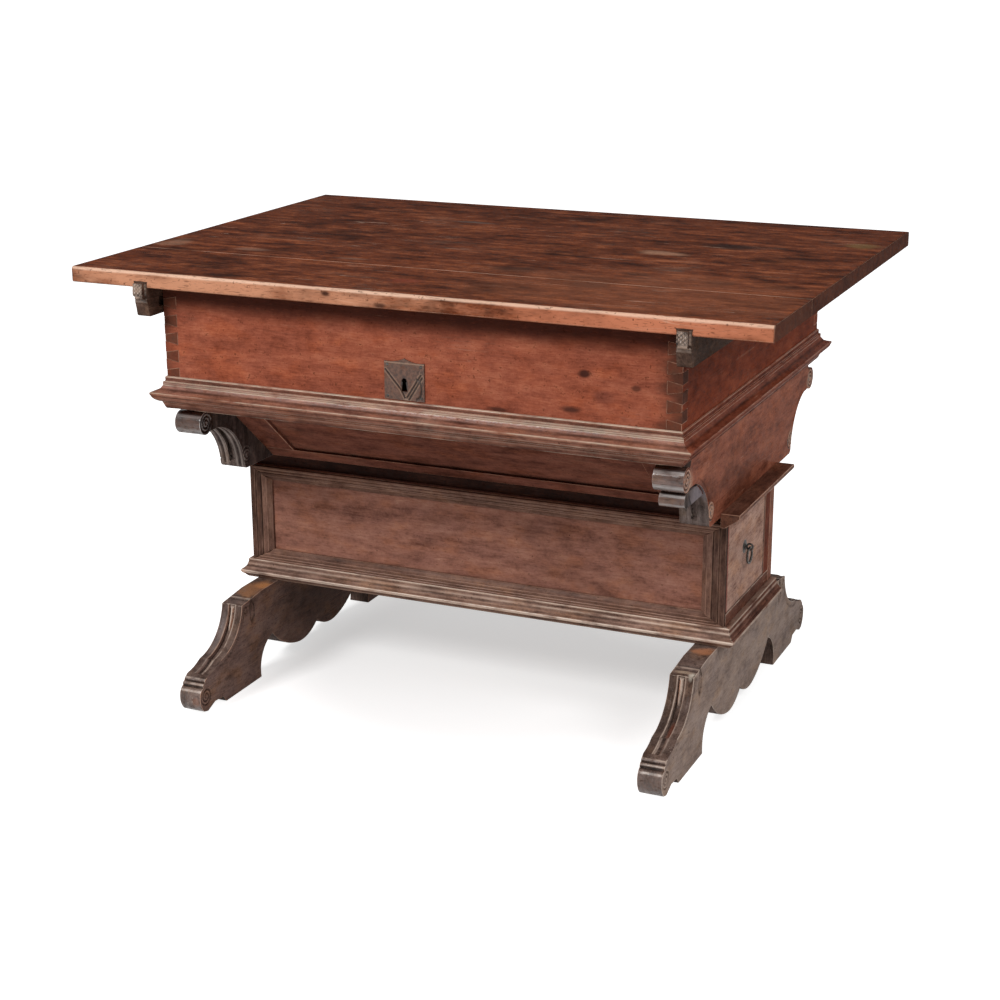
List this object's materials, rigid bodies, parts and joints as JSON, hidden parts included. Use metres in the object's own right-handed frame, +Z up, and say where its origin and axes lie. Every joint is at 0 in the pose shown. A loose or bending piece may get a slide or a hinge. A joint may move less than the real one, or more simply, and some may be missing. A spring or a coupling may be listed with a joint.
{
  "type": "rent table",
  "caption": "Walnut rent table with a sliding top over a locked money well, a canted trough on scrolled consoles, an end drawer with a ring and scrolled trestle feet.",
  "frame": {"origin": "on the floor under the middle of the table's bounding box", "axes": "+X along the table towards the drawer end, +Y from the lock side to the back, +Z up"},
  "size_m": [1.2, 0.892, 0.7844],
  "materials": {
    "top_walnut": "old wax over worn walnut",
    "case_walnut": "old wax over red-brown walnut",
    "carved_walnut": "dark worn carving",
    "inner_softwood": "bare aged softwood",
    "old_iron": "dark wrought iron"
  },
  "bodies": {
    "frame": {"box_front": "case_walnut", "box_back": "case_walnut", "box_left_end": "case_walnut", "box_right_end": "case_walnut", "guide_rail_left": "inner_softwood", "guide_rail_right": "inner_softwood", "box_ledge_front": "inner_softwood", "box_ledge_back": "inner_softwood", "box_moulding_front": "case_walnut", "box_moulding_back": "case_walnut", "box_moulding_left": "case_walnut", "box_moulding_right": "case_walnut", "escutcheon": "old_iron", "escutcheon_nails": "old_iron", "lock_case": "old_iron", "console_left": "carved_walnut", "console_right": "carved_walnut", "trough_top_rail": "case_walnut", "trough_bottom_rail": "case_walnut", "trough_left_stile": "case_walnut", "trough_right_stile": "case_walnut", "trough_panel": "case_walnut", "trough_back_board": "case_walnut", "waist_board": "inner_softwood", "waist_strip_left": "case_walnut", "waist_strip_right": "case_walnut", "lower_front_board": "case_walnut", "lower_back_board": "case_walnut", "lower_left_end": "case_walnut", "lower_bottom_board": "inner_softwood", "lower_end_rail": "case_walnut", "lower_rear_post": "case_walnut", "frame_strip_top": "case_walnut", "frame_strip_bottom": "case_walnut", "frame_strip_left": "case_walnut", "frame_strip_right": "case_walnut", "base_moulding_front": "case_walnut", "base_moulding_left": "case_walnut", "base_moulding_right": "case_walnut", "drawer_runner_front": "inner_softwood", "drawer_runner_rear": "inner_softwood", "drawer_guide": "inner_softwood", "trestle_left": "carved_walnut", "trestle_right": "carved_walnut"},
    "top": {"top_front_board": "top_walnut", "top_rear_board": "top_walnut", "batten_left": "carved_walnut", "batten_right": "carved_walnut", "keeper_plate": "old_iron"},
    "drawer": {"drawer_front": "case_walnut", "drawer_side_front": "inner_softwood", "drawer_side_rear": "inner_softwood", "drawer_back": "inner_softwood", "drawer_bottom": "inner_softwood", "ring_plate": "old_iron", "ring_staple": "old_iron"},
    "ring": {"ring_pull": "old_iron"},
    "bolt": {"lock_bolt": "old_iron"}
  },
  "joints": [
    {"name": "top_slide", "type": "slide", "parent": "frame", "child": "top", "axis": [0, 1, 0], "range_m": [0, 0.4]},
    {"name": "drawer_slide", "type": "slide", "parent": "frame", "child": "drawer", "axis": [1, 0, 0], "range_m": [0, 0.42]},
    {"name": "ring_swing", "type": "hinge", "parent": "drawer", "child": "ring", "pos_m": [0.46135, -0.034, 0.3097], "axis": [0, -1, 0], "range_deg": [0, 95]},
    {"name": "bolt_throw", "type": "slide", "parent": "frame", "child": "bolt", "axis": [0, 0, 1], "range_m": [0, 0.01]}
  ]
}
